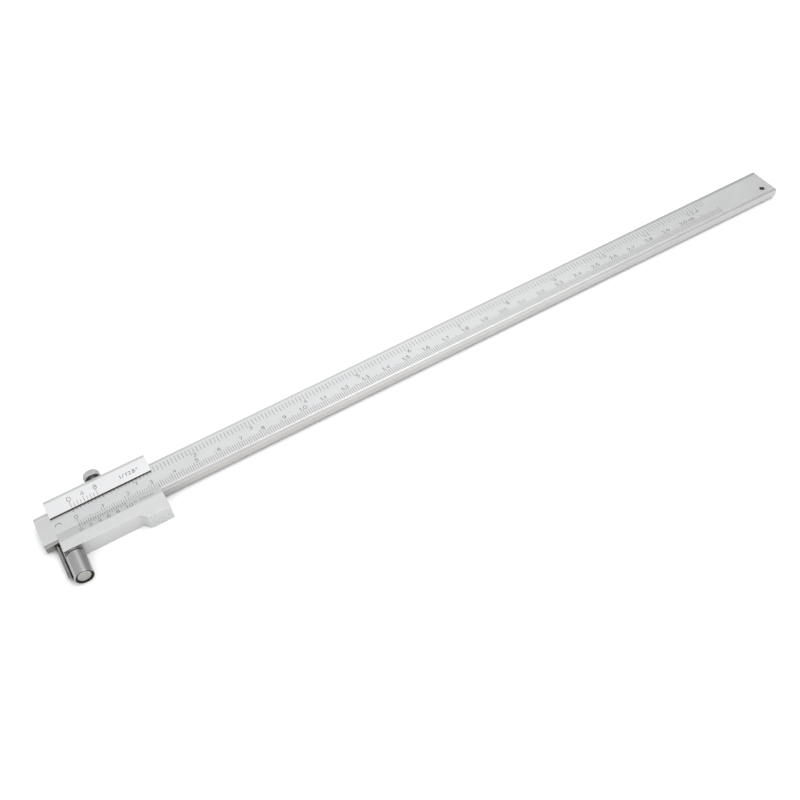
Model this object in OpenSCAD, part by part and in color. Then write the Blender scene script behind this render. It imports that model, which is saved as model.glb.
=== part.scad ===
// Marking vernier caliper: a graduated beam with a scriber at its left end, and a slider that
// carries two verniers, a lock screw and a ball-bearing guide roller.
// Frame: +X runs along the beam from the zero line to the tail, +Y points to the inch-scale edge,
// and +Z out of the graduated face. The origin is on the slider's back, under the zero line, on
// the beam's centre line. Sizes are in millimetres.

/* [Beam] */
// Length of the beam
beam_length = 367; // [355:1:420]
// Width of the beam
beam_width = 16; // [15.5:0.25:16.5]
// Thickness of the beam
beam_thickness = 4.3; // [4.2:0.1:4.5]
// Length of beam to the left of the zero line
beam_lead = 15.6; // [14:0.1:17]
// Width of the bevel along the front upper edge
top_bevel_width = 2.3; // [1:0.1:2.8]
// Depth of the bevel along the front upper edge
top_bevel_depth = 0.65; // [0.3:0.05:1]
// Size of the chamfer along the front lower edge
lower_chamfer = 1; // [0.5:0.1:1.2]
// Diameter of the hanging hole in the tail
hang_hole_diameter = 2.4; // [2:0.1:3.5]
// Distance of the hanging hole from the end of the tail
hang_hole_inset = 5.9; // [4:0.1:8]
// Distance of the hanging hole below the beam's centre line
hang_hole_drop = 4.1; // [0:0.1:4.5]

/* [Slider] */
// Left end of the slider
slider_left = -9.5; // [-9.8:0.1:-9]
// Length of the slider
slider_length = 43.4; // [42:0.1:50]
// Thickness of the plate behind the beam
back_plate = 1.5; // [1.4:0.1:2]
// Height of the slider's upper edge above the centre line
slider_top = 12.4; // [11.8:0.1:12.6]
// Depth of the slider's lower edge below the centre line
slider_bottom = 15.6; // [14.5:0.1:17]
// Height of the slider's front above the beam's face
front_rise = 1.9; // [1.6:0.1:2.4]
// Upper edge of the reading window
window_top = 3.45; // [3.2:0.05:4]
// Lower edge of the reading window
window_bottom = -5; // [-5.4:0.1:-4.6]
// Distance from the centre line to the ridge of the upper vernier bevel
upper_ridge = 10.4; // [9.5:0.1:10.8]
// Distance from the centre line to the ridge of the lower vernier bevel
lower_ridge = 10.5; // [9.5:0.1:12]
// Start of the thumb rest along the beam
thumb_start = 21; // [18:0.5:24]
// Length of the curve that leads into the thumb rest
thumb_run = 4; // [3:0.25:6]
// Extra depth of the thumb rest
thumb_drop = 2.9; // [2:0.1:4]
// Pitch of the grooves under the thumb rest
groove_pitch = 1.07; // [0.8:0.01:1.4]

/* [Lock screw] */
// Distance of the lock screw from the zero line
lock_x = 11.8; // [8:0.1:16]
// Diameter of the lock screw's knurled head
lock_head_diameter = 7; // [6:0.1:9]
// Height of the lock screw's knurled head
lock_head_height = 2.95; // [2:0.05:4]
// Clear neck between the slider and the head
lock_neck = 2.2; // [1.2:0.05:3]

/* [Guide roller] */
// Distance of the roller's axis from the zero line
roller_x = -6.15; // [-6.3:0.05:-6]
// Diameter of the roller
roller_diameter = 7.8; // [7.5:0.05:7.9]
// Length of the roller
roller_length = 11.1; // [11:0.1:14]
// Gap between the slider and the roller
roller_gap = 1.2; // [1:0.1:1.5]

/* [Scriber] */
// Diameter of the scriber's shank
scriber_diameter = 1.9; // [1.6:0.1:2]
// Distance of the scriber's point below the centre line
scriber_reach = 26.3; // [22:0.1:28]
// Length of the carbide tip
tip_length = 4.5; // [3.5:0.1:6]
// Height of the slanted end of the tip
tip_slant = 2.25; // [1:0.05:3]
// Adjustment of the scriber up and down from its set position
scriber_adjustment = 1.5; // [0.5:0.1:1.5]
// Distance of the scriber's clamp screw from the zero line
clamp_x = -7.4; // [-7.6:0.1:-7]
// Height of the scriber's clamp screw above the centre line
clamp_y = -0.9; // [-1.2:0.1:0]

/* [Hidden] */
$fn = 96;
cut = 1; // how far a cutter runs past the face it cuts
slip = 0.05; // clearance of a part that slides or turns

// Beam
beam_back = back_plate + slip;
beam_face = beam_back + beam_thickness;
beam_middle = (beam_back + beam_face) / 2;
beam_right = beam_length - beam_lead;
half_width = beam_width / 2;
tail_corner = 0.3;
tail_chamfer = 1;
hang_x = beam_right - hang_hole_inset;

// Slider
slider_right = slider_left + slider_length;
slider_front = beam_face + front_rise;
upper_lip_floor = 0.25; // height of the upper lip's underside above the beam's face
upper_lip = 0.5; // thickness of the upper lip
lower_lip = 0.12; // thickness of the lower lip
ridge_drop = 0.8; // fall of the narrow band above the upper ridge
gib_thickness = 0.8;
gib_room = gib_thickness + 0.1; // space for the gib above the beam
channel_top = half_width + gib_room;
thumb_steps = 16;
groove_depth = 0.28;

// Gib screws, grub screws with a pilot that keeps the gib from creeping out
gib_screw_inset = 5;
gib_screw_diameter = 2.4;
gib_pilot_diameter = 1.2;
gib_screw_y = channel_top + slip;
gib_screw_length = 2.6;

// Lock screw, an M3 thread with a pitch of 0.5
lock_thread_diameter = 3;
pad_length = 0.7;
pad_y = half_width + slip + gib_thickness + 0.1; // 0.1 clear of the gib while unlocked
lock_head_y = slider_top + lock_neck;
knurl_teeth = 44;
knurl_depth = 0.18;
head_rim = 0.3;

// Roller and its bearings, measured down from the slider's lower edge
roller_z = beam_middle + 0.25;
roller_top_y = -slider_bottom - roller_gap;
roller_bottom_y = roller_top_y - roller_length;
sleeve_bore = 6;
bearing_width = 2.5;
axle_diameter = 3;
collar_diameter = 4;
collar_length = roller_gap + 0.4;
upper_bearing_y = -slider_bottom - collar_length;
spacer_length = roller_length - 8.2; // leaves room for the axle screw under the end cap
lower_bearing_y = upper_bearing_y - bearing_width - spacer_length;
axle_end_y = lower_bearing_y - bearing_width;
inner_ring_diameter = 4;
outer_ring_bore = 5.1;
ball_diameter = 0.9;
ball_circle = 4.55;
ball_count = 13;
race_clearance = 0.04;
axle_thread_length = 5;
axle_screw_diameter = 1.6;
cap_diameter = sleeve_bore - 0.02;
cap_thickness = 1.4;
cap_recess = 0.35;
cap_edge = 0.2;
cap_face_diameter = 5.5; // narrower than the part pressed into the bore
moat_diameter = 7.3; // the groove around the end cap
moat_depth = 1.1;
washer_diameter = 7.4; // of the dust washer behind the roller
washer_width = 0.45;
washer_shoulder_diameter = 7.2;
washer_shoulder_width = 0.5;

// Scriber, clamped in a pocket in the beam's back
scriber_radius = scriber_diameter / 2;
scriber_x = roller_x - roller_diameter / 2 - slip - scriber_radius;
pocket_depth = 2.35;
pocket_floor = beam_back + pocket_depth;
tang_thickness = 2.15;
tang_back = pocket_floor - 0.02 - tang_thickness;
scriber_z = tang_back + tang_thickness / 2;
tang_left = scriber_x - scriber_radius - 0.2;
tang_right = clamp_x + 2.9;
tang_top = clamp_y + 4.2;
tang_bottom = clamp_y - 3.9;
clamp_diameter = 2.4;
clamp_hole = 2.5;
clamp_recess = 0.35; // depth of the screw's end below the beam's face
clamp_head_diameter = 3.9;
clamp_head_height = 0.8;
washer_thickness = 0.25;
counter_depth = 1.35; // depth of the wide part of the tang's slot
counter_floor = tang_back + counter_depth;

// A cylinder along +Y from y, at x and z
module rod_y(x, z, y, length, diameter) {
    translate([x, y, z]) rotate([-90, 0, 0]) cylinder(d = diameter, h = length);
}

// A ring along +Y from y, at the roller's axis
module roller_ring(y, length, outer, bore) {
    difference() {
        rod_y(roller_x, roller_z, y, length, outer);
        rod_y(roller_x, roller_z, y - cut, length + 2 * cut, bore);
    }
}

// A (y, z) outline drawn along +X from x_start
module along_x(x_start, length) {
    translate([x_start, 0, 0]) rotate([90, 0, 90]) linear_extrude(length) children();
}

module beam() {
    color("silver") difference() {
        intersection() {
            along_x(-beam_lead, beam_length) polygon([
                [-half_width, beam_back],
                [half_width, beam_back],
                [half_width, beam_face - top_bevel_depth],
                [half_width - top_bevel_width, beam_face],
                [lower_chamfer - half_width, beam_face],
                [-half_width, beam_face - lower_chamfer]
            ]);
            linear_extrude(beam_face + cut) polygon([
                [-beam_lead, -half_width],
                [beam_right - tail_corner, -half_width],
                [beam_right, tail_corner - half_width],
                [beam_right, half_width - tail_corner],
                [beam_right - tail_corner, half_width],
                [-beam_lead, half_width]
            ]);
        }
        translate([0, half_width + cut, 0]) rotate([90, 0, 0])
            linear_extrude(beam_width + 2 * cut) polygon([
                [beam_right - tail_chamfer - cut, beam_face + cut],
                [beam_right + cut, beam_face - tail_chamfer - cut],
                [beam_right + cut, beam_face + cut]
            ]);
        translate([hang_x, -hang_hole_drop, beam_back - cut])
            cylinder(d = hang_hole_diameter, h = beam_thickness + 2 * cut);
        scriber_pocket();
        translate([clamp_x, clamp_y, beam_back - cut])
            cylinder(d = clamp_hole, h = beam_thickness + 2 * cut);
    }
}

// The space cut out of the beam's back for the scriber's tang and its shank
module scriber_pocket() {
    room = scriber_adjustment + 0.2;
    translate([tang_left - slip, tang_bottom - room, beam_back - cut])
        cube([
            tang_right - tang_left + 2 * slip,
            tang_top - tang_bottom + 2 * room,
            pocket_depth + cut
        ]);
    translate([scriber_x - scriber_radius - slip, -half_width - cut, beam_back - cut])
        cube([scriber_diameter + 2 * slip, half_width + cut, pocket_depth + cut]);
}

// A slot with round ends, centred on the clamp screw and long enough for the adjustment
module clamp_slot(width, z, height) {
    translate([clamp_x, clamp_y, z]) {
        for (side = [-1, 1])
            translate([0, side * scriber_adjustment, 0]) cylinder(d = width, h = height);
        translate([-width / 2, -scriber_adjustment, 0])
            cube([width, 2 * scriber_adjustment, height]);
    }
}

module scriber() {
    color("dimgray") difference() {
        union() {
            translate([tang_left, tang_bottom, tang_back])
                cube([tang_right - tang_left, tang_top - tang_bottom, tang_thickness]);
            rod_y(
                scriber_x, scriber_z, tip_length - scriber_reach,
                scriber_reach - tip_length + tang_bottom + cut, scriber_diameter
            );
        }
        clamp_slot(clamp_hole + 2 * slip, tang_back - cut, tang_thickness + 2 * cut);
        clamp_slot(clamp_head_diameter + 0.6, tang_back - cut, counter_depth + cut);
    }
}

// The carbide tip: its slanted end leaves the point on the side of the roller
module scriber_tip() {
    slant_angle = atan(tip_slant / scriber_diameter);
    color("slategray") difference() {
        rod_y(scriber_x, scriber_z, -scriber_reach, tip_length, scriber_diameter);
        translate([scriber_x + scriber_radius, -scriber_reach, scriber_z - scriber_diameter])
            rotate([0, 0, 180 - slant_angle])
                cube([3 * tip_slant, 3 * tip_slant, 2 * scriber_diameter]);
    }
}

module scriber_washer() {
    color("gainsboro") translate([clamp_x, clamp_y, counter_floor - washer_thickness]) difference() {
        cylinder(d = clamp_head_diameter + 0.4, h = washer_thickness);
        translate([0, 0, -cut]) cylinder(d = clamp_hole + slip, h = washer_thickness + 2 * cut);
    }
}

// The clamp screw goes in from the back, and its end shows as a ring on the beam's face
module scriber_screw() {
    head_bottom = counter_floor - washer_thickness;
    head_top = head_bottom - clamp_head_height;
    color("gray") difference() {
        union() {
            translate([clamp_x, clamp_y, head_top])
                cylinder(d = clamp_head_diameter, h = clamp_head_height);
            translate([clamp_x, clamp_y, head_top])
                cylinder(d = clamp_diameter, h = beam_face - clamp_recess - head_top);
        }
        translate([clamp_x - 3, clamp_y - 0.3, head_top - cut]) cube([6, 0.6, 0.45 + cut]);
    }
}

// Front view of the slider, with the curve that leads into the thumb rest
module slider_outline() {
    curve = [
        for (i = [0 : thumb_steps])
            let (t = i / thumb_steps)
            [thumb_start + t * thumb_run, -slider_bottom - thumb_drop * (1 - cos(180 * t)) / 2]
    ];
    polygon(concat(
        [[slider_left, slider_top], [slider_left, -slider_bottom]],
        curve,
        [[slider_right, -slider_bottom - thumb_drop], [slider_right, slider_top]]
    ));
}

// Section of the slider: the channel for the beam, the reading window and the vernier bevels
module slider_section() {
    lowest = -slider_bottom - thumb_drop;
    polygon([
        [lowest, 0],
        [slider_top, 0],
        [slider_top, slider_front - ridge_drop],
        [upper_ridge, slider_front],
        [window_top, beam_face + upper_lip_floor + upper_lip],
        [window_top, beam_face + upper_lip_floor],
        [half_width - top_bevel_width, beam_face + upper_lip_floor],
        [half_width - top_bevel_width, beam_face + slip],
        [channel_top, beam_face + slip],
        [channel_top, back_plate],
        [-half_width - slip, back_plate],
        [-half_width - slip, beam_face + slip],
        [window_bottom, beam_face + slip],
        [window_bottom, beam_face + slip + lower_lip],
        [-lower_ridge, slider_front],
        [lowest, slider_front]
    ]);
}

module slider() {
    color("lightgray") difference() {
        intersection() {
            along_x(slider_left, slider_length) slider_section();
            linear_extrude(slider_front + cut) slider_outline();
        }
        for (x = [slider_left + gib_screw_inset, slider_right - gib_screw_inset])
            rod_y(x, beam_middle, half_width, slider_top, gib_screw_diameter + 2 * slip);
        rod_y(lock_x, beam_middle, half_width, slider_top, lock_thread_diameter + 2 * slip);
        rod_y(
            roller_x, roller_z, -slider_bottom - cut,
            axle_thread_length + 0.3 + cut, axle_diameter + 2 * slip
        );
        thumb_grooves();
    }
}

// V grooves across the underside of the thumb rest
module thumb_grooves() {
    first = thumb_start + thumb_run + groove_pitch / 2;
    for (x = [first : groove_pitch : slider_right - groove_pitch / 2])
        translate([x, -slider_bottom - thumb_drop, -cut])
            rotate([0, 0, 45])
                translate([-groove_depth / sqrt(2), -groove_depth / sqrt(2), 0])
                    cube([groove_depth * sqrt(2), groove_depth * sqrt(2), slider_front + 2 * cut]);
}

module gib() {
    margin = 0.4;
    color("goldenrod") difference() {
        translate([slider_left + margin, half_width + slip, beam_back])
            cube([slider_length - 2 * margin, gib_thickness, beam_thickness]);
        for (x = [slider_left + gib_screw_inset, slider_right - gib_screw_inset])
            rod_y(x, beam_middle, half_width - cut, 3 * cut, gib_pilot_diameter + 2 * slip);
    }
}

module gib_screw(x) {
    color("dimgray") difference() {
        union() {
            rod_y(x, beam_middle, gib_screw_y, gib_screw_length, gib_screw_diameter);
            rod_y(x, beam_middle, half_width + 3 * slip, 1, gib_pilot_diameter);
        }
        translate([x - 2, gib_screw_y + gib_screw_length - 0.7, beam_middle - 0.25])
            cube([4, 0.7 + cut, 0.5]);
    }
}

module gib_screw_left() {
    gib_screw(slider_left + gib_screw_inset);
}

module gib_screw_right() {
    gib_screw(slider_right - gib_screw_inset);
}

module pressure_pad() {
    color("goldenrod") rod_y(lock_x, beam_middle, pad_y, pad_length, lock_thread_diameter - slip);
}

// The lock screw: a threaded stud, a neck and a head with a straight knurl
module lock_screw() {
    radius = lock_head_diameter / 2;
    color("whitesmoke") {
        rod_y(
            lock_x, beam_middle, pad_y + pad_length, lock_head_y - pad_y - pad_length + cut,
            lock_thread_diameter - slip
        );
        translate([lock_x, lock_head_y, beam_middle]) rotate([-90, 0, 0]) {
            cylinder(d = lock_head_diameter - 2 * knurl_depth, h = lock_head_height);
            translate([0, 0, head_rim]) linear_extrude(lock_head_height - 2 * head_rim) polygon([
                for (i = [0 : 2 * knurl_teeth - 1])
                    let (r = radius - (i % 2) * knurl_depth, a = 180 * i / knurl_teeth)
                    [r * cos(a), r * sin(a)]
            ]);
        }
    }
}

// The axle screws into the slider's lower edge, and its collar carries the upper inner ring
module roller_axle() {
    color("darkgray") difference() {
        union() {
            rod_y(roller_x, roller_z, axle_end_y, axle_thread_length - slider_bottom - axle_end_y,
                axle_diameter - slip);
            rod_y(roller_x, roller_z, upper_bearing_y, collar_length, collar_diameter);
        }
        rod_y(roller_x, roller_z, axle_end_y - cut, 3 + cut, axle_screw_diameter + slip);
    }
}

// The screw in the axle's end keeps the lower inner ring on
module axle_screw() {
    head_height = 0.8;
    color("dimgray") difference() {
        union() {
            rod_y(roller_x, roller_z, axle_end_y - head_height, head_height, collar_diameter - 0.2);
            rod_y(roller_x, roller_z, axle_end_y - 0.1, 2.6, axle_screw_diameter);
        }
        translate([roller_x - 3, axle_end_y - head_height - cut, roller_z - 0.2])
            cube([6, cut + 0.35, 0.4]);
    }
}

module bearing_spacer() {
    color("silver") roller_ring(
        lower_bearing_y, spacer_length, inner_ring_diameter, axle_diameter + slip
    );
}

// The groove that the balls run in, for a bearing whose upper face is at y
module race(y) {
    translate([roller_x, y - bearing_width / 2, roller_z]) rotate([-90, 0, 0])
        rotate_extrude()
            translate([ball_circle / 2, 0]) circle(d = ball_diameter + 2 * race_clearance);
}

module inner_ring(y) {
    color("gainsboro") difference() {
        roller_ring(y - bearing_width, bearing_width, inner_ring_diameter, axle_diameter + slip);
        race(y);
    }
}

module outer_ring(y) {
    color("gainsboro") difference() {
        roller_ring(y - bearing_width, bearing_width, sleeve_bore - 0.02, outer_ring_bore);
        race(y);
    }
}

module balls(y) {
    color("white") translate([roller_x, y - bearing_width / 2, roller_z]) rotate([-90, 0, 0])
        for (i = [0 : ball_count - 1])
            rotate([0, 0, 360 * i / ball_count])
                translate([ball_circle / 2, 0, 0]) sphere(d = ball_diameter, $fn = 24);
}

module upper_inner_ring() {
    inner_ring(upper_bearing_y);
}

module lower_inner_ring() {
    inner_ring(lower_bearing_y);
}

module upper_outer_ring() {
    outer_ring(upper_bearing_y);
}

module lower_outer_ring() {
    outer_ring(lower_bearing_y);
}

module upper_balls() {
    balls(upper_bearing_y);
}

module lower_balls() {
    balls(lower_bearing_y);
}

// The dust washer sits on the axle's collar and keeps grit out of the upper bearing
module dust_washer() {
    seal_y = roller_top_y + 0.1;
    bore = collar_diameter + 0.02;
    color("dimgray") {
        roller_ring(seal_y, washer_width, washer_diameter, bore);
        roller_ring(seal_y + washer_width, washer_shoulder_width, washer_shoulder_diameter, bore);
    }
}

// The guide roller: a hardened sleeve with chamfered ends and a groove around its end cap
module roller_sleeve() {
    radius = roller_diameter / 2;
    rim = 0.25;
    end_rim = 0.15;
    color("darkgray") translate([roller_x, roller_bottom_y, roller_z]) rotate([-90, 0, 0])
        rotate_extrude() polygon([
            [sleeve_bore / 2, moat_depth],
            [moat_diameter / 2, moat_depth],
            [moat_diameter / 2, 0],
            [radius - end_rim, 0],
            [radius, end_rim],
            [radius, roller_length - rim],
            [radius - rim, roller_length],
            [sleeve_bore / 2, roller_length]
        ]);
}

// The end cap, pressed into the sleeve's bore
module roller_end_cap() {
    radius = cap_diameter / 2;
    face_radius = cap_face_diameter / 2;
    step = moat_depth - cap_recess;
    color("rosybrown") translate([roller_x, roller_bottom_y + cap_recess, roller_z])
        rotate([-90, 0, 0]) rotate_extrude() polygon([
            [0, 0],
            [face_radius - cap_edge, 0],
            [face_radius, cap_edge],
            [face_radius, step],
            [radius, step],
            [radius, cap_thickness],
            [0, cap_thickness]
        ]);
}

beam();
scriber();
scriber_tip();
scriber_washer();
scriber_screw();
slider();
gib();
gib_screw_left();
gib_screw_right();
pressure_pad();
lock_screw();
roller_axle();
axle_screw();
dust_washer();
bearing_spacer();
upper_inner_ring();
lower_inner_ring();
upper_balls();
lower_balls();
upper_outer_ring();
lower_outer_ring();
roller_sleeve();
roller_end_cap();
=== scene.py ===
import math

import bmesh
import bpy
from mathutils import Matrix, Vector
from mathutils.bvhtree import BVHTree


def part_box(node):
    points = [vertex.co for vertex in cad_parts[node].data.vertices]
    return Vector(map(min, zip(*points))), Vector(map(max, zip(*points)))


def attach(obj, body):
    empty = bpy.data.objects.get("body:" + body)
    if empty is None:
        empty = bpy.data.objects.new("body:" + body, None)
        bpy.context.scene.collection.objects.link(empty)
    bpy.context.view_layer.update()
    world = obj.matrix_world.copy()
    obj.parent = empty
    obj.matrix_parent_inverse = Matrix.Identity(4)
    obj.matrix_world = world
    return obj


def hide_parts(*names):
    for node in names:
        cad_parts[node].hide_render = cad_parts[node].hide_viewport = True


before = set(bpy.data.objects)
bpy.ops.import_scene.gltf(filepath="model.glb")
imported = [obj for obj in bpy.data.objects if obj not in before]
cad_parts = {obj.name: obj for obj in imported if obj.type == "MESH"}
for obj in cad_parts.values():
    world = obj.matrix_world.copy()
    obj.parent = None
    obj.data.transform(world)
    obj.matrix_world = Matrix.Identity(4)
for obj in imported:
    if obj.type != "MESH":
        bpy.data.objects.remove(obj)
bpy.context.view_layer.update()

MM = 0.001

# ---------------------------------------------------------------- places, in millimetres
BEAM_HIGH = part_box("beam")[1] / MM
SLIDER_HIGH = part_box("slider")[1] / MM
ROLLER_LOW, ROLLER_HIGH = (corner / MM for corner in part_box("roller_sleeve"))
WASHER_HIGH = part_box("dust_washer")[1] / MM
BEAM_FACE = BEAM_HIGH.z
ROLLER_AXIS = ((ROLLER_LOW + ROLLER_HIGH) / 2).to_tuple()

INCH = 25.4

# Scales on the beam: how far each kind of line reaches, measured from the beam's centre line
MM_LINE_END = -6.35
MM_LINE_STARTS = {10: -2.2, 5: -2.75, 1: -3.35}
MM_COUNT = 320
INCH_LINE_START = 5.1
INCH_LINE_ENDS = {8: 1.65, 2: 2.05, 1: 2.4}
INCH_SIXTEENTHS = 199
CM_LABEL_Y = -1.85
INCH_LABEL_Y = 1.05
ZERO_LABEL_Y = -0.85
LABEL_HEIGHT = 1.75
LINE_WIDTH = 0.15
LABEL_STROKE = 0.2
WIDE_GAP = 0.7  # between the digits of the beam's numbers, as a share of their height
FIRST_CM_OFFSET = 0.6  # from a line to its label's left edge
CM_OFFSET = 1.05
INCH_OFFSET = 0.6
TENS_OVERHANG = 0.55  # from the right edge of a number's tens to the line

# Verniers: lines and labels, by their place across the tool
MM_VERNIER_PITCH = 0.95
MM_VERNIER_LINES = 21
MM_VERNIER_START = -5.12
MM_VERNIER_ENDS = {2: -7.55, 1: -7.0}
MM_VERNIER_LABEL_Y = -8.95
MM_VERNIER_LABEL_GAP = 0.45
INCH_VERNIER_PITCH = 7 / 128 * INCH
INCH_VERNIER_LINES = 9
INCH_VERNIER_START = 3.6
INCH_VERNIER_ENDS = {4: 6.5, 2: 5.95, 1: 5.5}
INCH_VERNIER_LABEL_Y = 7.75
INCH_VERNIER_LABEL_HEIGHT = 1.95
INCH_VERNIER_LABEL_SHIFT = 0.15

# ---------------------------------------------------------------- camera, room and light
LENS = 48.47
CAMERA_PLACE = (20.1, -286.8, 348.0)
CAMERA_TARGET = (136.45, -20.9, 5.85)
CAMERA_ROLL = -8.05
# The floor in metres across, and the hair of room that keeps it off the faces that lie on it, in mm
FLOOR_SIZE = 60
FLOOR_GAP = 0.02
# Brightness of the room by the sine of the height above the floor, as shares of SKY_STRENGTH,
# and how it changes towards the tail's side of the room
SKY_RISE = ((0, 0.6), (0.3, 0.66), (0.5, 0.66), (0.72, 0.69), (0.82, 0.78), (0.93, 1.05), (1, 1.3))
SKY_TO_TAIL = ((0, 0.70), (0.08, 0.83), (0.2, 1.0), (0.36, 1.0), (0.5, 0.88), (0.6, 0.56), (1, 0.5))
SKY_STRENGTH = 2.1


def look(obj, place, target, roll=0.0):
    """Puts obj at place, looking at target, turned about its own view line by roll degrees."""
    place, target = Vector(place) * MM, Vector(target) * MM
    turn = (target - place).to_track_quat("-Z", "Y").to_matrix()
    turn = turn @ Matrix.Rotation(math.radians(roll), 3, "Z")
    obj.matrix_world = Matrix.Translation(place) @ turn.to_4x4()


def make_camera():
    data = bpy.data.cameras.new("camera")
    data.sensor_width = 36
    data.lens = LENS
    data.clip_start = 0.01
    camera = bpy.data.objects.new("camera", data)
    bpy.context.scene.collection.objects.link(camera)
    look(camera, CAMERA_PLACE, CAMERA_TARGET, CAMERA_ROLL)
    bpy.context.scene.camera = camera


def area_light(name, place, target, size, watts):
    data = bpy.data.lights.new(name, "AREA")
    data.shape = "RECTANGLE"
    data.size, data.size_y = size
    data.energy = watts
    light = bpy.data.objects.new(name, data)
    bpy.context.scene.collection.objects.link(light)
    look(light, place, target)


def make_stage():
    bpy.ops.mesh.primitive_plane_add(size=FLOOR_SIZE, location=(0.15, 0, -FLOOR_GAP * MM))
    floor = bpy.context.object
    floor.name = "floor"
    floor.data.materials.append(plain_material("floor_white", (0.93, 0.93, 0.93), 0.6))

    sky()
    bpy.context.scene.view_settings.view_transform = "Standard"
    area_light("overhead", (460, -300, 820), (300, -30, 0), (0.5, 0.5), 2.3)


def put(tree, value, socket):
    """Links value to the socket if it comes from another node, and sets it as a number if not."""
    if isinstance(value, bpy.types.NodeSocket):
        tree.links.new(value, socket)
    else:
        socket.default_value = value


def calculate(tree, operation, first, second):
    node = tree.nodes.new("ShaderNodeMath")
    node.operation = operation
    put(tree, first, node.inputs[0])
    put(tree, second, node.inputs[1])
    return node.outputs["Value"]


def float_curve(tree, value, points):
    """A curve through points, which include its two ends at 0 and 1. It stays level outside them."""
    node = tree.nodes.new("ShaderNodeFloatCurve")
    node.mapping.extend = "HORIZONTAL"
    curve = node.mapping.curves[0]
    curve.points[0].location = points[0]
    curve.points[-1].location = points[-1]
    for x, y in points[1:-1]:
        curve.points.new(x, y)
    node.mapping.update()
    tree.links.new(value, node.inputs["Value"])
    return node.outputs["Value"]


def sky():
    """A white room without edges, brightest overhead and dimmest on the tail's side."""
    world = bpy.data.worlds.new("studio")
    world.use_nodes = True
    tree = world.node_tree
    place = tree.nodes.new("ShaderNodeTexCoord")
    split = tree.nodes.new("ShaderNodeSeparateXYZ")
    tree.links.new(place.outputs["Generated"], split.inputs["Vector"])
    rise = float_curve(tree, split.outputs["Z"], SKY_RISE)
    to_tail = float_curve(tree, split.outputs["X"], SKY_TO_TAIL)
    share = calculate(tree, "MULTIPLY", rise, to_tail)
    strength = calculate(tree, "MULTIPLY", share, SKY_STRENGTH)
    put(tree, strength, tree.nodes["Background"].inputs["Strength"])
    tree.nodes["Background"].inputs["Color"].default_value = (0.985, 0.99, 1.0, 1)
    bpy.context.scene.world = world


# ---------------------------------------------------------------- materials
class Nodes:
    """Short calls for building a material's nodes."""

    def __init__(self, name):
        self.material = bpy.data.materials.new(name)
        self.material.use_nodes = True
        self.tree = self.material.node_tree
        self.shader = self.tree.nodes["Principled BSDF"]

    def add(self, kind, **inputs):
        node = self.tree.nodes.new(kind)
        for name, value in inputs.items():
            put(self.tree, value, node.inputs[name.replace("_", " ")])
        return node

    def coordinates(self, scale):
        """The row's own coordinates, stretched: a large scale makes fine detail along that axis."""
        place = self.add("ShaderNodeTexCoord").outputs["Object"]
        stretch = self.add("ShaderNodeMapping", Vector=place, Scale=scale)
        return stretch.outputs["Vector"]

    def noise(self, scale, detail=3.0, roughness=0.55):
        node = self.add("ShaderNodeTexNoise", Vector=self.coordinates(scale), Scale=1.0,
                        Detail=detail, Roughness=roughness)
        return node.outputs["Fac"]

    def ramp(self, value, low, high, out_low, out_high):
        node = self.add("ShaderNodeMapRange", Value=value)
        node.inputs["From Min"].default_value = low
        node.inputs["From Max"].default_value = high
        node.inputs["To Min"].default_value = out_low
        node.inputs["To Max"].default_value = out_high
        return node.outputs["Result"]

    def mix(self, factor, first, second):
        node = self.tree.nodes.new("ShaderNodeMix")
        node.data_type = "RGBA"
        put(self.tree, factor, node.inputs[0])
        put(self.tree, first, node.inputs[6])
        put(self.tree, second, node.inputs[7])
        return node.outputs[2]

    def darker(self, colour, axis, start, first, end, last):
        """The colour, of which the share first is left at start and last at end, in millimetres."""
        place = self.add("ShaderNodeTexCoord").outputs["Object"]
        along = self.add("ShaderNodeSeparateXYZ", Vector=place).outputs[axis]
        return self.mix(self.ramp(along, start * MM, end * MM, 1 - first, 1 - last), colour, rgb(0))

    def multiply(self, first, second):
        return calculate(self.tree, "MULTIPLY", first, second)

    def sum(self, first, second):
        return calculate(self.tree, "ADD", first, second)

    def bump(self, height, strength, distance):
        node = self.add("ShaderNodeBump", Height=height, Strength=strength, Distance=distance)
        put(self.tree, node.outputs["Normal"], self.shader.inputs["Normal"])

    def finish(self, **inputs):
        for name, value in inputs.items():
            put(self.tree, value, self.shader.inputs[name.replace("_", " ")])
        return self.material


def rgb(value, warmth=0.0):
    """A grey of that brightness, warmer or cooler by warmth."""
    return (value * (1 + warmth), value, value * (1 - warmth), 1)


def plain_material(name, colour, roughness):
    made = Nodes(name)
    speckle = made.noise((400, 400, 400), 2)
    tint = made.mix(speckle, (*(c * 0.99 for c in colour), 1), (*colour, 1))
    return made.finish(Base_Color=tint, Roughness=roughness)


def metal(name, dark, light, roughness, grain, bump=0.12, warmth=0.0, drift=None, step=None):
    """A worked metal: brushing along one axis, faint clouds of tone, and small uneven wear.
    grain is the stretch of the brushing along X, Y and Z; the lowest one is its direction.
    drift and step are (place, share, place, share): painted shade, the share of its brightness
    that the metal keeps at two places along X, and along Y."""
    made = Nodes(name)
    brushing = made.noise(grain, 4, 0.65)
    clouds = made.noise((55, 90, 90), 3)
    pits = made.noise((2600, 2600, 2600), 2)
    tone = made.sum(made.multiply(brushing, 0.55), made.multiply(clouds, 0.45))
    colour = made.mix(made.ramp(tone, 0.36, 0.64, 0, 1), rgb(dark, warmth), rgb(light, warmth))
    if drift:
        colour = made.darker(colour, "X", *drift)
    if step:
        colour = made.darker(colour, "Y", *step)
    rough = made.sum(
        made.ramp(brushing, 0.3, 0.7, roughness - 0.05, roughness + 0.05),
        made.ramp(clouds, 0.3, 0.7, -0.03, 0.03),
    )
    made.bump(made.sum(brushing, made.multiply(pits, 0.35)), bump, 0.000004)
    return made.finish(Base_Color=colour, Metallic=1.0, Roughness=rough)


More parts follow.
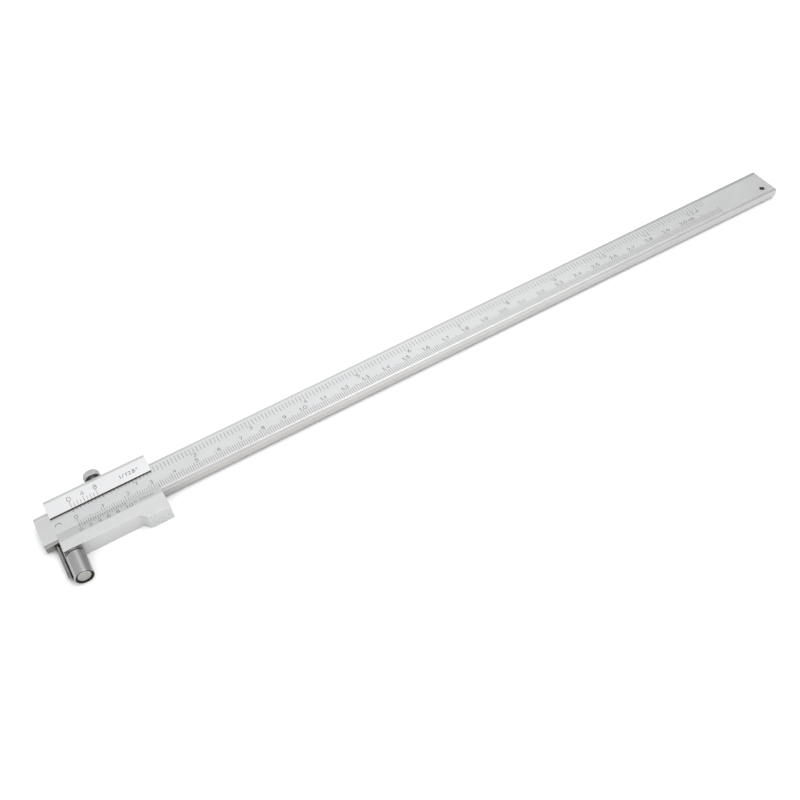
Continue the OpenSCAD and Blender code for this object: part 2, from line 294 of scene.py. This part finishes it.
def make_materials():
    """The finish of each kind of surface, and of its edges, which are painted brighter as a highlight."""
    fine = 9000
    black = black_material()
    return {
        "beam": metal("satin_beam", 0.53, 0.57, 0.36, (90, fine, fine), 0.16),
        # The _edge finishes here are lighter than their surfaces: a painted highlight along the rounded
        # edges.
        "beam_edge": metal("beam_edge_painted_highlight", 0.60, 0.66, 0.26, (90, fine, fine), 0.1),
        # The chamfer and the side are painted darker towards the scriber's end, as painted shade.
        "beam_chamfer": metal(
            "ground_beam_chamfer", 0.43, 0.48, 0.34, (70, fine, fine), 0.2, 0.01, (-16, 0.72, 50, 1)
        ),
        "beam_side": metal(
            "ground_beam_side", 0.47, 0.53, 0.36, (70, fine, fine), 0.2, 0.03, (-16, 0.42, 60, 1.0)
        ),
        # The bevel is painted darker towards the tail and along its outer strip, as painted shade, which
        # leaves a brighter band along its inner edge as a painted highlight.
        "beam_bevel": metal(
            "ground_beam_bevel", 0.64, 0.70, 0.34, (90, fine, fine), 0.16, 0,
            drift=(60, 1, 345, 0.72), step=(6.1, 1, 6.4, 0.8),
        ),
        "slider": metal("satin_slider", 0.54, 0.58, 0.38, (160, fine, fine), 0.14),
        "slider_edge": metal("slider_edge_painted_highlight", 0.62, 0.68, 0.26, (160, fine, fine), 0.1),
        # The scriber's steel is darker than steel is, as painted shade for its side towards the roller.
        "scriber": metal("ground_scriber", 0.22, 0.28, 0.24, (fine, 300, fine), 0.2, 0.05),
        "scriber_edge": metal("scriber_edge_painted_highlight", 0.30, 0.36, 0.22, (fine, 300, fine), 0.1, 0.05),
        "carbide": metal("ground_carbide_and_painted_shade", 0.17, 0.23, 0.28, (5000, 900, 5000), 0.2, 0.03),
        "carbide_edge": metal("carbide_edge_painted_highlight", 0.24, 0.3, 0.22, (5000, 900, 5000), 0.1, 0.03),
        "screw": metal("turned_screw", 0.36, 0.44, 0.32, (3000, 3000, 3000), 0.2, 0.02),
        "screw_edge": metal("screw_edge_painted_highlight", 0.42, 0.5, 0.26, (3000, 3000, 3000), 0.1, 0.02),
        "knurl": metal("knurled_head", 0.40, 0.47, 0.46, (2500, 2500, 2500), 0.2),
        "knurl_edge": metal("knurl_edge_painted_highlight", 0.5, 0.56, 0.36, (2500, 2500, 2500), 0.1),
        "roller": metal("ground_roller", 0.33, 0.39, 0.2, (260, 9000, 260), 0.22, 0.005),
        "roller_edge": metal("roller_edge_painted_highlight", 0.4, 0.46, 0.2, (260, 9000, 260), 0.1, 0.005),
        "cap": metal("faced_cap", 0.36, 0.42, 0.42, (1800, 1800, 1800), 0.25, 0.045),
        "cap_edge": metal("cap_edge_painted_highlight", 0.5, 0.56, 0.3, (1800, 1800, 1800), 0.1, 0.03),
        "bearing": metal("bearing_steel", 0.44, 0.52, 0.16, (2000, 2000, 2000), 0.08),
        "black": black,
        "black_edge": black,
        "brass": brass_material(),
        "ink": ink_material(),
    }


def black_material():
    """Blackened steel, as on the dust washer, with faint specks of oil and dust. It is also used as painted
    shade: in the roller's end groove, on the cap's side wall and on the window's lip.
    """
    made = Nodes("black_oxide")
    dust = made.noise((1500, 1500, 1500), 4)
    colour = made.mix(made.ramp(dust, 0.4, 0.75, 0, 1), (0.012, 0.012, 0.012, 1), (0.045, 0.042, 0.04, 1))
    made.bump(dust, 0.3, 0.000006)
    return made.finish(
        Base_Color=colour, Roughness=made.ramp(dust, 0.3, 0.7, 0.45, 0.65), Specular_IOR_Level=0.25
    )


def brass_material():
    made = Nodes("machined_brass")
    brushing = made.noise((200, 6000, 6000), 4, 0.6)
    clouds = made.noise((120, 120, 120), 3)
    colour = made.mix(made.ramp(clouds, 0.35, 0.65, 0, 1), (0.62, 0.42, 0.16, 1), (0.78, 0.58, 0.26, 1))
    made.bump(brushing, 0.2, 0.000004)
    return made.finish(
        Base_Color=colour, Metallic=1.0, Roughness=made.ramp(brushing, 0.3, 0.7, 0.26, 0.38)
    )


def ink_material():
    """The black filling of the graduations, a little worn."""
    made = Nodes("graduation_fill")
    wear = made.noise((2200, 2200, 2200), 4)
    colour = made.mix(made.ramp(wear, 0.45, 0.75, 0, 1), (0.022, 0.022, 0.024, 1), (0.09, 0.09, 0.09, 1))
    made.bump(wear, 0.3, 0.000006)
    return made.finish(Base_Color=colour, Roughness=made.ramp(wear, 0.3, 0.7, 0.5, 0.7))


# ---------------------------------------------------------------- pieces made from the CAD shapes
def new_piece(name, mesh, body):
    """A piece of that mesh, which keeps its own materials and rides on body."""
    piece = bpy.data.objects.new(name, mesh)
    bpy.context.scene.collection.objects.link(piece)
    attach(piece, body)
    return piece


def with_modifier(mesh, kind, **settings):
    """The mesh that a modifier makes of mesh."""
    rough = bpy.data.objects.new("rough", mesh)
    bpy.context.scene.collection.objects.link(rough)
    modifier = rough.modifiers.new("change", kind)
    for name, value in settings.items():
        setattr(modifier, name, value)
    bpy.context.view_layer.update()
    made = bpy.data.meshes.new_from_object(rough.evaluated_get(bpy.context.evaluated_depsgraph_get()))
    bpy.data.objects.remove(rough)
    return made


CREASE = math.radians(8)  # a fold along the tool that stays crisp
CORNER = math.radians(28)  # an edge that gets rounded
ROUND = math.radians(50)  # the widest bend that is shaded as one curve
FLAT, EDGE, FIRST_OTHER = range(3)  # the material of a face: the finish, its edges with a painted highlight, the others


def shade(mesh):
    """Shades faces flat up to their creases, and lets the rounded edges blend from one to the next."""
    around = [[] for _ in mesh.vertices]
    for face in mesh.polygons:
        face.use_smooth = True
        for vertex in face.vertices:
            around[vertex].append(face)
    normals = [None] * len(mesh.loops)
    for face in mesh.polygons:
        for corner, vertex in zip(face.loop_indices, face.vertices):
            total = Vector()
            for other in around[vertex]:
                if face.normal.angle(other.normal, 0) < widest_bend(face, other):
                    total += other.normal * other.area
            normals[corner] = total.normalized()
    mesh.normals_split_custom_set(normals)


def widest_bend(face, other):
    """The widest bend between two faces that is shaded as one curve. Folds along X stay crisp."""
    if EDGE in (face.material_index, other.material_index):
        return ROUND
    folded_along_x = max(abs(face.normal.x), abs(other.normal.x)) < 0.01
    return CREASE if folded_along_x else ROUND


def softened(node, body, finish, edge, segments=2, others=()):
    """A copy of a CAD node with its edges rounded to edge millimetres, shown in its place.
    Its edges take the finish's edge material, painted brighter as a highlight for most finishes, and others
    gives (finish, test) for faces with a finish of their own or with painted shade."""
    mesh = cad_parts[node].data.copy()
    for name in ("custom_normal", "sharp_edge", "sharp_face"):
        if name in mesh.attributes:
            mesh.attributes.remove(mesh.attributes[name])
    mesh.materials.clear()
    for name in (finish, finish + "_edge", *(other for other, _ in others)):
        mesh.materials.append(MATERIALS[name])
    form = bmesh.new()
    form.from_mesh(mesh)
    bmesh.ops.remove_doubles(form, verts=form.verts, dist=0.0005 * MM)
    bmesh.ops.dissolve_limit(
        form, angle_limit=math.radians(0.5), verts=form.verts, edges=form.edges,
        use_dissolve_boundaries=False,
    )
    for face in form.faces:
        place = face.calc_center_median() / MM
        face.material_index = FLAT
        for i, (_, test) in enumerate(others):
            if test(place, face.normal):
                face.material_index = FIRST_OTHER + i
    form.to_mesh(mesh)
    form.free()

    mesh = with_modifier(
        mesh, "BEVEL", width=edge * MM, segments=segments, limit_method="ANGLE", angle_limit=CORNER,
        use_clamp_overlap=False, miter_outer="MITER_ARC", material=EDGE,
    )
    shade(mesh)
    piece = new_piece(node + "_shape", mesh, body)
    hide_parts(node)
    return piece


# ---------------------------------------------------------------- engraved lines and numbers
class Surface:
    """The flat face of a CAD node that lies under one point, seen from above."""

    def __init__(self, node, x, y):
        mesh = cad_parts[node].data
        tree = BVHTree.FromPolygons(
            [vertex.co for vertex in mesh.vertices], [list(face.vertices) for face in mesh.polygons]
        )
        self.origin, self.normal, _, _ = tree.ray_cast(Vector((x, y, 100)) * MM, Vector((0, 0, -1)))
        self.up = self.normal.cross(Vector((1, 0, 0)))

    def at(self, x, y, lift=0.0):
        """The point of the face at x and y, raised by lift, all in millimetres."""
        along = (y * MM - self.origin.y) / self.up.y
        point = self.origin + self.up * along
        point.x = x * MM
        return point + self.normal * (lift * MM)


RIDGE = 0.012  # how far the filling stands proud of the steel
ROOT = 0.06  # how far it goes into the steel
CROWN = 0.6  # share of a line's width that is flat on top


def stroke(form, surface, points, width, closed=False):
    """A line along points, with a crowned section and round ends, as one closed shell."""
    points = [Vector(p) for p in points]
    half = width / 2
    count = len(points)
    rings = []
    for i, point in enumerate(points):
        before = points[i - 1] if i or closed else point
        after = points[(i + 1) % count] if i < count - 1 or closed else point
        side = Vector((-(after - before).y, (after - before).x)).normalized()
        first, second = (point - before), (after - point)
        stretch = 1.0
        if first.length and second.length:
            cosine = max(-1.0, min(1.0, first.normalized().dot(second.normalized())))
            stretch = min(1.5, 1 / max(0.3, math.sqrt((1 + cosine) / 2)))
        rings.append((point, side * stretch, half))
    if not closed:
        start = (points[0] - points[1]).normalized()
        end = (points[-1] - points[-2]).normalized()
        cap = [(0.5, 0.87), (0.87, 0.5), (1.0, 0.12)]
        rings = (
            [(points[0] + start * half * a, rings[0][1], half * b) for a, b in reversed(cap)]
            + rings
            + [(points[-1] + end * half * a, rings[-1][1], half * b) for a, b in cap]
        )
    loops = []
    for point, side, reach in rings:
        section = [(-1, -ROOT), (-1, 0), (-CROWN, RIDGE), (CROWN, RIDGE), (1, 0), (1, -ROOT)]
        loops.append([
            form.verts.new(surface.at(*(point + side * reach * s), lift)) for s, lift in section
        ])
    pairs = list(zip(loops, loops[1:])) + ([(loops[-1], loops[0])] if closed else [])
    for near, far in pairs:
        for i in range(6):
            j = (i + 1) % 6
            form.faces.new((near[i], near[j], far[j], far[i]))
    if not closed:
        form.faces.new(list(reversed(loops[0])))
        form.faces.new(loops[-1])


def arc(x, y, width, height, start, end, steps=14):
    """Points of an ellipse's arc, in degrees anticlockwise from +x."""
    return [
        (
            x + width * math.cos(math.radians(start + (end - start) * i / steps)),
            y + height * math.sin(math.radians(start + (end - start) * i / steps)),
        )
        for i in range(steps + 1)
    ]


def ring(x, y, width, height, steps=20):
    return arc(x, y, width, height, 0, 360, steps)[:-1]


# Each character, one unit high from its base line: its width, its open strokes and its closed ones
GLYPHS = {
    "0": (0.78, [], [ring(0.39, 0.5, 0.39, 0.5)]),
    "1": (0.34, [[(0.02, 0.8), (0.26, 1), (0.26, 0)]], []),
    "2": (0.72, [arc(0.35, 0.69, 0.33, 0.31, 165, -38) + [(0.02, 0), (0.72, 0)]], []),
    "3": (0.70, [arc(0.33, 0.75, 0.29, 0.25, 150, -90, 10) + arc(0.33, 0.26, 0.35, 0.26, 82, -150, 12)], []),
    "4": (0.76, [[(0.56, 0), (0.56, 1), (0.02, 0.3), (0.76, 0.3)]], []),
    "5": (0.72, [[(0.66, 1), (0.14, 1), (0.07, 0.55)] + arc(0.34, 0.33, 0.36, 0.33, 122, -150)], []),
    "6": (0.74, [arc(0.62, 0.36, 0.6, 0.64, 100, 175, 8)], [ring(0.38, 0.31, 0.35, 0.31)]),
    "7": (0.70, [[(0, 1), (0.70, 1), (0.24, 0)]], []),
    "8": (0.74, [], [ring(0.37, 0.76, 0.28, 0.24), ring(0.37, 0.26, 0.36, 0.26)]),
    "9": (0.74, [arc(0.12, 0.64, 0.6, 0.64, -80, -5, 8)], [ring(0.36, 0.69, 0.35, 0.31)]),
    ".": (0.16, [[(0.08, 0), (0.08, 0.05)]], []),
    "/": (0.44, [[(0, -0.08), (0.44, 1.06)]], []),
    '"': (0.26, [[(0.04, 1), (0.04, 0.72)], [(0.22, 1), (0.22, 0.72)]], []),
    "c": (0.52, [arc(0.3, 0.32, 0.29, 0.32, 50, 310)], []),
    "i": (0.14, [[(0.06, 0), (0.06, 0.62)], [(0.06, 0.84), (0.06, 0.89)]], []),
    "n": (0.5, [
        [(0.02, 0), (0.02, 0.62)],
        [(0.02, 0.36)] + arc(0.25, 0.38, 0.23, 0.25, 170, 0, 8) + [(0.48, 0)],
    ], []),
    "m": (0.9, [
        [(0.02, 0), (0.02, 0.62)],
        [(0.02, 0.36)] + arc(0.235, 0.4, 0.215, 0.22, 170, 0, 8) + [(0.45, 0)],
        [(0.45, 0.36)] + arc(0.665, 0.4, 0.215, 0.22, 170, 0, 8) + [(0.88, 0)],
    ], []),
}


DIGIT_GAP = 0.24  # between characters, as a share of their height


def write(form, surface, text, x, y, height, gap=DIGIT_GAP, width=LABEL_STROKE):
    """Writes text with its left edge at x and its middle at y, and returns where the next would go."""
    base = y - height / 2
    for character in text:
        advance, open_strokes, closed_strokes = GLYPHS[character]
        for strokes, closed in ((open_strokes, False), (closed_strokes, True)):
            for points in strokes:
                placed = [(x + px * height, base + py * height) for px, py in points]
                stroke(form, surface, placed, width, closed)
        x += (advance + gap) * height
    return x


def text_width(text, height):
    return height * (sum(GLYPHS[c][0] for c in text) + DIGIT_GAP * (len(text) - 1))


def inked(name, body, draw):
    """One piece of engraved filling, drawn by draw(form)."""
    form = bmesh.new()
    draw(form)
    bmesh.ops.recalc_face_normals(form, faces=form.faces)
    mesh = bpy.data.meshes.new(name)
    form.to_mesh(mesh)
    form.free()
    mesh.materials.append(MATERIALS["ink"])
    return new_piece(name, mesh, body)


def longest(kinds, index):
    """The value of the largest step in kinds that divides index."""
    return kinds[max(step for step in kinds if index % step == 0)]


def beam_mm_lines(form):
    for i in range(MM_COUNT + 1):
        stroke(form, FACE, [(i, longest(MM_LINE_STARTS, i)), (i, MM_LINE_END)], LINE_WIDTH)


def beam_inch_lines(form):
    for i in range(INCH_SIXTEENTHS + 1):
        x = i * INCH / 16
        stroke(form, FACE, [(x, INCH_LINE_START), (x, longest(INCH_LINE_ENDS, i))], LINE_WIDTH)


def beam_numbers(form):
    height = LABEL_HEIGHT
    write(form, FACE, "0", -0.5 * text_width("0", height), ZERO_LABEL_Y, height)
    for cm in range(1, 31):
        text = str(cm)
        x = cm * 10
        if cm < 10:
            left = x + (FIRST_CM_OFFSET if cm == 1 else CM_OFFSET)
        else:
            left = x - TENS_OVERHANG - GLYPHS[text[0]][0] * height
        end = write(form, FACE, text, left, CM_LABEL_Y, height, WIDE_GAP)
        if cm == 30:
            write(form, FACE, "cm", end, CM_LABEL_Y, height)
    for inch in range(1, 13):
        text = str(inch)
        end = write(form, FACE, text, inch * INCH + INCH_OFFSET, INCH_LABEL_Y, height, WIDE_GAP)
        if inch == 12:
            write(form, FACE, "in", end, INCH_LABEL_Y, height)


def mm_vernier(form):
    for i in range(MM_VERNIER_LINES):
        x = i * MM_VERNIER_PITCH
        stroke(form, LOWER_BEVEL, [(x, MM_VERNIER_START), (x, longest(MM_VERNIER_ENDS, i))], LINE_WIDTH)
    height = LABEL_HEIGHT
    for label in range(0, 11, 2):
        text = str(label)
        x = label * 2 * MM_VERNIER_PITCH - GLYPHS[text[0]][0] * height / 2
        write(form, LOWER_BEVEL, text, x, MM_VERNIER_LABEL_Y, height, MM_VERNIER_LABEL_GAP)
    write(form, LOWER_BEVEL, "0.05mm", x=22.35, y=-8.35, height=1.25, gap=0.42, width=0.16)


def inch_vernier(form):
    for i in range(INCH_VERNIER_LINES):
        x = i * INCH_VERNIER_PITCH
        stroke(form, UPPER_BEVEL, [(x, INCH_VERNIER_START), (x, longest(INCH_VERNIER_ENDS, i))], LINE_WIDTH)
    height = INCH_VERNIER_LABEL_HEIGHT
    for label in range(0, 9, 4):
        text = str(label)
        x = label * INCH_VERNIER_PITCH + INCH_VERNIER_LABEL_SHIFT - text_width(text, height) / 2
        write(form, UPPER_BEVEL, text, x, INCH_VERNIER_LABEL_Y, height)
    write(form, UPPER_BEVEL, '1/128"', x=21.4, y=6.6, height=1.45, gap=0.5, width=0.22)


# ---------------------------------------------------------------- faces with a finish of their own, and faces painted dark as shade
# Each test takes the middle of a face, in millimetres, and its normal
def on_beam_side(place, normal):
    return normal.y < -0.9 and place.y < -6.5


def on_beam_chamfer(place, normal):
    return -0.9 < normal.y < -0.5 and normal.z > 0.5


def on_beam_bevel(place, normal):
    return normal.y > 0.2 and normal.z > 0.9


# The end face of the window's lip is painted black, as a painted shadow line along the window's upper edge.
def on_window_edge(place, normal):
    return normal.y < -0.9 and 3 < place.y < 4 and place.z > BEAM_FACE


# The underside of the lock screw's head takes the dark carbide finish, as painted shade under the head.
def under_lock_head(place, normal):
    return normal.y < -0.9 and place.y > SLIDER_HIGH.y


# The walls of the groove in the roller's end are painted black, as painted shade in the recess.
def in_end_groove(place, normal):
    x, _, z = ROLLER_AXIS
    return math.hypot(place.x - x, place.z - z) < 3.7 and place.y < ROLLER_LOW.y + 2


# The cap's side wall, under the sleeve's rim, is painted black, as painted shade.
def on_cap_wall(place, normal):
    return abs(normal.y) < 0.5 or (normal.y < 0 and place.y > ROLLER_LOW.y + 0.9)


def on_washer_shoulder(place, normal):
    return place.y > WASHER_HIGH.y - 0.45


# ---------------------------------------------------------------- building the scene
make_camera()
make_stage()
MATERIALS = make_materials()

FACE = Surface("beam", 200, 0)
LOWER_BEVEL = Surface("slider", 10, -8)
UPPER_BEVEL = Surface("slider", 10, 7)

softened("beam", "beam", "beam", 0.1, 2, [
    ("beam_side", on_beam_side), ("beam_chamfer", on_beam_chamfer), ("beam_bevel", on_beam_bevel),
])
softened("slider", "slider", "slider", 0.1, 2, [("black", on_window_edge)])
softened("lock_screw", "lock_screw", "knurl", 0.05, 1, [("carbide", under_lock_head)])
softened("roller_sleeve", "roller", "roller", 0.05, 2, [("black", in_end_groove)])
softened("roller_end_cap", "roller", "cap", 0.06, 2, [("black", on_cap_wall)])
softened("dust_washer", "slider", "black", 0.04, 1, [("screw", on_washer_shoulder)])
softened("scriber", "scriber", "scriber", 0.05)
softened("scriber_tip", "scriber", "carbide", 0.04)
softened("scriber_screw", "clamp_screw", "slider", 0.08)

# CAD nodes that are shown as they are, by finish
AS_THEY_ARE = {
    "screw": ("scriber_washer", "gib_screw_left", "gib_screw_right", "axle_screw"),
    "brass": ("gib", "pressure_pad"),
    "scriber": ("roller_axle",),
    "bearing": (
        "bearing_spacer", "upper_inner_ring", "lower_inner_ring", "upper_balls", "lower_balls",
        "upper_outer_ring", "lower_outer_ring",
    ),
}
for finish, nodes in AS_THEY_ARE.items():
    for node in nodes:
        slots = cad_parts[node].data.materials
        slots.clear()
        slots.append(MATERIALS[finish])

inked("beam_mm_lines", "beam", beam_mm_lines)
inked("beam_inch_lines", "beam", beam_inch_lines)
inked("beam_numbers", "beam", beam_numbers)
inked("mm_vernier_lines", "slider", mm_vernier)
inked("inch_vernier_lines", "slider", inch_vernier)
